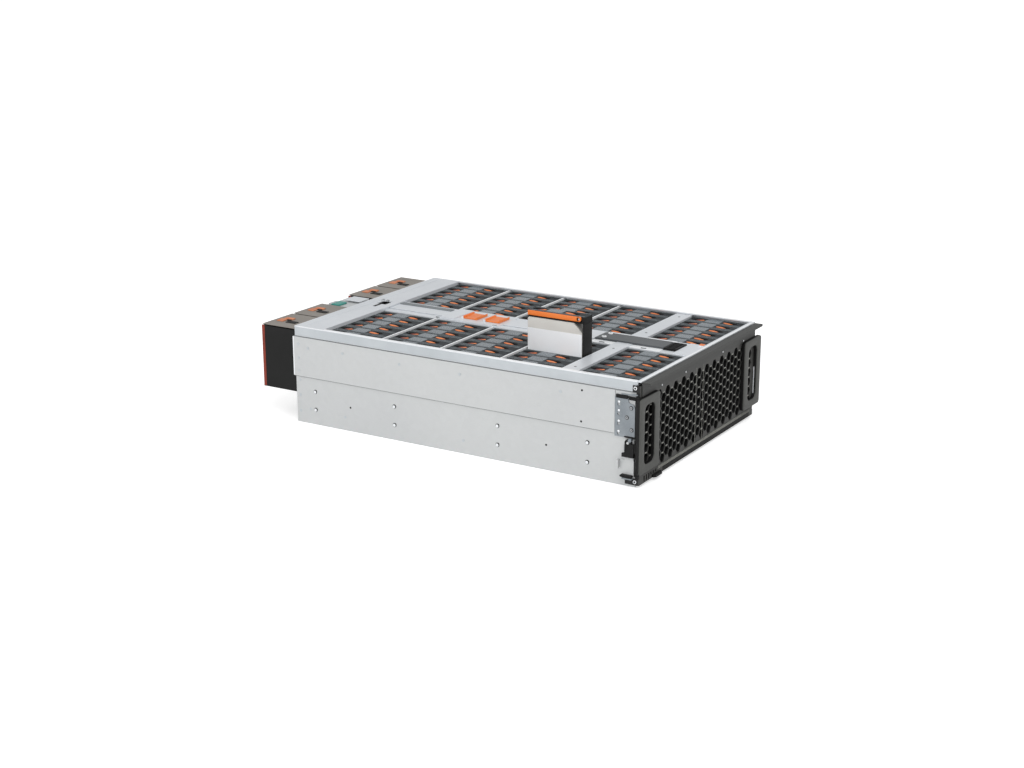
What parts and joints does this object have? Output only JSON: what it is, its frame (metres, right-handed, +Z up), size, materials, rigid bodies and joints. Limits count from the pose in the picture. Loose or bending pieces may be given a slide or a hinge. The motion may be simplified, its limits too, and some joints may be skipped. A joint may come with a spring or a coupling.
{
  "type": "disk shelf enclosure",
  "caption": "Top-loading rack disk shelf with its cover off: rows of drives, centre channel, honeycomb bezel with loop handles, rear fan modules and one raised drive",
  "frame": {"origin": "on the surface that the shelf stands on, under the middle of its overall box", "axes": "+X right seen from the front, +Y towards the rear, +Z up"},
  "size_m": [0.468, 0.772, 0.238],
  "materials": {
    "sheet_steel": "satin zinc-coated sheet",
    "zinc_plate": "bluish zinc plate",
    "dark_plastic": "fine matte grain",
    "cover_plastic": "matte",
    "circuit_board": "satin solder mask",
    "carrier_plastic": "matte",
    "disk_casting": "satin casting",
    "orange_plastic": "semi-gloss",
    "fan_plastic": "matte",
    "rotor_plastic": "matte",
    "module_steel": "satin sheet"
  },
  "bodies": {
    "chassis": {"floor_pan": "sheet_steel", "side_wall_left": "sheet_steel", "side_wall_right": "sheet_steel", "upper_panel_left": "sheet_steel", "upper_panel_right": "sheet_steel", "rim_left": "sheet_steel", "rim_right": "sheet_steel", "front_rail": "sheet_steel", "rear_deck": "sheet_steel", "cross_bar": "sheet_steel", "row_divider_1": "sheet_steel", "row_divider_2": "sheet_steel", "row_divider_3": "sheet_steel", "mid_wall": "sheet_steel", "rear_wall": "sheet_steel", "base_board": "circuit_board", "centre_channel": "sheet_steel", "channel_cover_front": "cover_plastic", "vent_grille": "cover_plastic", "channel_plate": "sheet_steel", "channel_cover_rear": "sheet_steel", "bezel": "dark_plastic", "bezel_lip": "dark_plastic", "handle_left": "dark_plastic", "handle_right": "dark_plastic", "ear_bracket_left": "zinc_plate", "ear_bracket_right": "zinc_plate", "hook_plate_left": "zinc_plate", "hook_plate_right": "zinc_plate", "drives_row1_left": "carrier_plastic", "drives_row1_right": "carrier_plastic", "drives_row2_left": "carrier_plastic", "drives_row2_right": "carrier_plastic", "drives_row3_left": "carrier_plastic", "drives_row3_right": "carrier_plastic", "drives_row4_left": "carrier_plastic", "drives_row4_right": "carrier_plastic", "drives_row5_left": "carrier_plastic", "drives_row5_right": "carrier_plastic"},
    "channel_lever_1": {"channel_lever_1": "orange_plastic"},
    "channel_lever_2": {"channel_lever_2": "orange_plastic"},
    "rail_latch_left": {"rail_latch_left": "dark_plastic"},
    "rail_latch_right": {"rail_latch_right": "dark_plastic"},
    "pull_tab": {"pull_tab": "dark_plastic"},
    "lifted_drive": {"lifted_carrier": "carrier_plastic", "lifted_disk": "disk_casting"},
    "lifted_lever": {"lifted_lever": "orange_plastic"},
    "fan_1": {"fan_1_shell": "fan_plastic"},
    "fan_1_rotor": {"fan_1_rotor": "rotor_plastic"},
    "fan_2": {"fan_2_shell": "fan_plastic"},
    "fan_2_rotor": {"fan_2_rotor": "rotor_plastic"},
    "fan_3": {"fan_3_shell": "fan_plastic"},
    "fan_3_rotor": {"fan_3_rotor": "rotor_plastic"},
    "fan_4": {"fan_4_shell": "fan_plastic"},
    "fan_4_rotor": {"fan_4_rotor": "rotor_plastic"},
    "centre_module": {"centre_module": "module_steel"},
    "power_left_module": {"power_left_module": "module_steel"},
    "power_right_module": {"power_right_module": "module_steel"},
    "io_left_module": {"io_left_module": "module_steel"},
    "io_right_module": {"io_right_module": "module_steel"}
  },
  "joints": [
    {"name": "lifted_drive_slide", "type": "slide", "parent": "chassis", "child": "lifted_drive", "axis": [0, 0, 1], "range_m": [-0.0677, 0.1]},
    {"name": "lifted_lever_hinge", "type": "hinge", "parent": "lifted_drive", "child": "lifted_lever", "pos_m": [-0.112, -0.207, 0.2332], "axis": [1, 0, 0], "range_deg": [0, 60]},
    {"name": "channel_lever_1_hinge", "type": "hinge", "parent": "chassis", "child": "channel_lever_1", "pos_m": [0, 0.043, 0.1753], "axis": [1, 0, 0], "range_deg": [-80, 0]},
    {"name": "channel_lever_2_hinge", "type": "hinge", "parent": "chassis", "child": "channel_lever_2", "pos_m": [0, 0.089, 0.1753], "axis": [1, 0, 0], "range_deg": [-80, 0]},
    {"name": "rail_latch_left_hinge", "type": "hinge", "parent": "chassis", "child": "rail_latch_left", "pos_m": [-0.2248, -0.353, 0.074], "axis": [1, 0, 0], "range_deg": [0, 20]},
    {"name": "rail_latch_right_hinge", "type": "hinge", "parent": "chassis", "child": "rail_latch_right", "pos_m": [0.2248, -0.353, 0.074], "axis": [1, 0, 0], "range_deg": [0, 20]},
    {"name": "pull_tab_slide", "type": "slide", "parent": "chassis", "child": "pull_tab", "axis": [0, -1, 0], "range_m": [0, 0.025]},
    {"name": "fan_1_slide", "type": "slide", "parent": "chassis", "child": "fan_1", "axis": [0, 1, 0], "range_m": [0, 0.14]},
    {"name": "fan_1_spin", "type": "hinge", "parent": "fan_1", "child": "fan_1_rotor", "pos_m": [-0.173, 0.359, 0.109], "axis": [0, 1, 0], "continuous": true},
    {"name": "fan_2_slide", "type": "slide", "parent": "chassis", "child": "fan_2", "axis": [0, 1, 0], "range_m": [0, 0.14]},
    {"name": "fan_2_spin", "type": "hinge", "parent": "fan_2", "child": "fan_2_rotor", "pos_m": [-0.084, 0.359, 0.109], "axis": [0, 1, 0], "continuous": true},
    {"name": "fan_3_slide", "type": "slide", "parent": "chassis", "child": "fan_3", "axis": [0, 1, 0], "range_m": [0, 0.14]},
    {"name": "fan_3_spin", "type": "hinge", "parent": "fan_3", "child": "fan_3_rotor", "pos_m": [0.084, 0.359, 0.109], "axis": [0, 1, 0], "continuous": true},
    {"name": "fan_4_slide", "type": "slide", "parent": "chassis", "child": "fan_4", "axis": [0, 1, 0], "range_m": [0, 0.14]},
    {"name": "fan_4_spin", "type": "hinge", "parent": "fan_4", "child": "fan_4_rotor", "pos_m": [0.173, 0.359, 0.109], "axis": [0, 1, 0], "continuous": true},
    {"name": "centre_module_slide", "type": "slide", "parent": "chassis", "child": "centre_module", "axis": [0, 1, 0], "range_m": [0, 0.14]},
    {"name": "power_left_slide", "type": "slide", "parent": "chassis", "child": "power_left_module", "axis": [0, 1, 0], "range_m": [0, 0.06]},
    {"name": "power_right_slide", "type": "slide", "parent": "chassis", "child": "power_right_module", "axis": [0, 1, 0], "range_m": [0, 0.06]},
    {"name": "io_left_slide", "type": "slide", "parent": "chassis", "child": "io_left_module", "axis": [0, 1, 0], "range_m": [0, 0.06]},
    {"name": "io_right_slide", "type": "slide", "parent": "chassis", "child": "io_right_module", "axis": [0, 1, 0], "range_m": [0, 0.06]}
  ]
}
